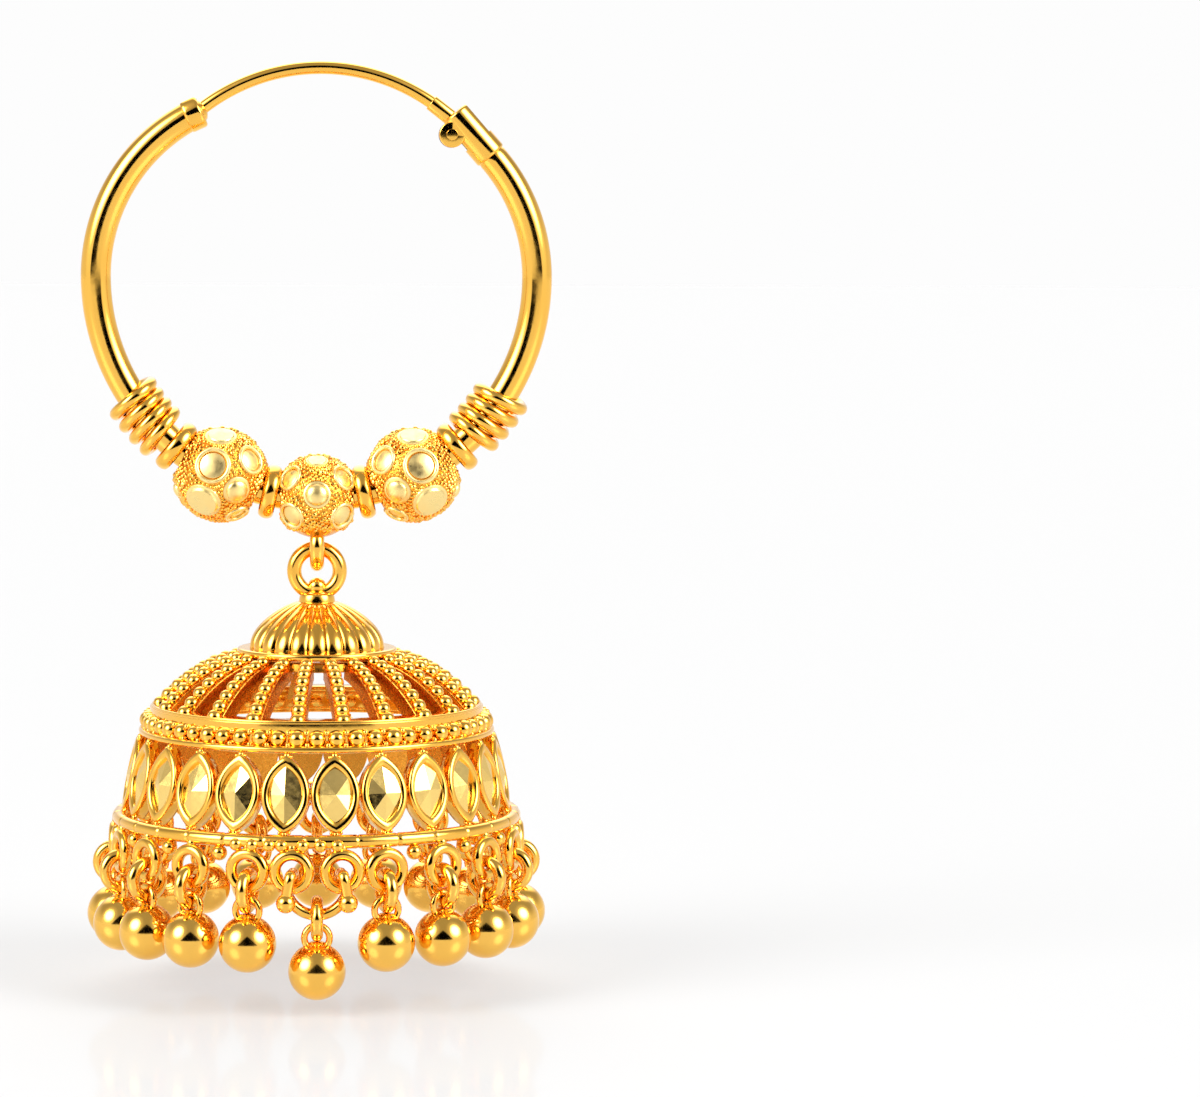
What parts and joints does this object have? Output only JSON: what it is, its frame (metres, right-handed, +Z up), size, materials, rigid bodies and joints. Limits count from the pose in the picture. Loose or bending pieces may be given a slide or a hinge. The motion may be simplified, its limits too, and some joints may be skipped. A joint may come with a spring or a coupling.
{
  "type": "jhumka earring",
  "caption": "Hinged hoop earring with decorated beads, wound coils and a pierced domed bell fringed with small ball drops.",
  "frame": {"origin": "top of the ear wire's centreline, where the earring hangs in the pierced ear", "axes": "+Z up, +X toward the hinge side of the hoop, -Y toward the viewer in front"},
  "size_m": [0.029, 0.028, 0.0563],
  "materials": {
    "polished_gold": "mirror-polished gold plate",
    "relief_gold": "cast and granulated gold plate with polished discs",
    "bright_cut_gold": "bright-cut facets and polished granules"
  },
  "bodies": {
    "hoop": {"hoop_tube": "polished_gold", "catch_cap": "polished_gold", "hinge_barrel": "polished_gold", "hinge_pin": "polished_gold", "coil_left": "polished_gold", "coil_right": "polished_gold", "spacer_ring_left_inner": "polished_gold", "spacer_ring_left_outer": "polished_gold", "spacer_ring_right_inner": "polished_gold", "spacer_ring_right_outer": "polished_gold", "side_bead_left": "relief_gold", "side_bead_right": "relief_gold"},
    "ear_wire": {"ear_wire": "polished_gold"},
    "centre_bead": {"centre_bead": "relief_gold"},
    "bell": {"bell_cap": "polished_gold", "dome_ribs": "polished_gold", "granule_band": "bright_cut_gold", "petal_band": "bright_cut_gold", "rim": "polished_gold", "swag_link": "polished_gold", "drop_01": "polished_gold", "drop_02": "polished_gold", "drop_03": "polished_gold", "drop_04": "polished_gold", "drop_05": "polished_gold", "drop_06": "polished_gold", "drop_07": "polished_gold", "drop_08": "polished_gold", "drop_09": "polished_gold", "drop_10": "polished_gold", "drop_11": "polished_gold", "drop_12": "polished_gold", "drop_13": "polished_gold", "drop_14": "polished_gold", "drop_15": "polished_gold", "drop_16": "polished_gold", "drop_17": "polished_gold", "drop_18": "polished_gold", "drop_19": "polished_gold", "drop_20": "polished_gold"}
  },
  "joints": [
    {"name": "wire_hinge", "type": "hinge", "parent": "hoop", "child": "ear_wire", "pos_m": [0.0083, 0, -0.00407], "axis": [0, 1, 0], "range_deg": [0, 55]},
    {"name": "bead_turn", "type": "hinge", "parent": "hoop", "child": "centre_bead", "pos_m": [0, 0, -0.02648], "axis": [1, 0, 0], "range_deg": [-80, 80]},
    {"name": "bell_swing", "type": "hinge", "parent": "centre_bead", "child": "bell", "pos_m": [0, 0, -0.03067], "axis": [0, 1, 0], "range_deg": [-40, 40]}
  ]
}
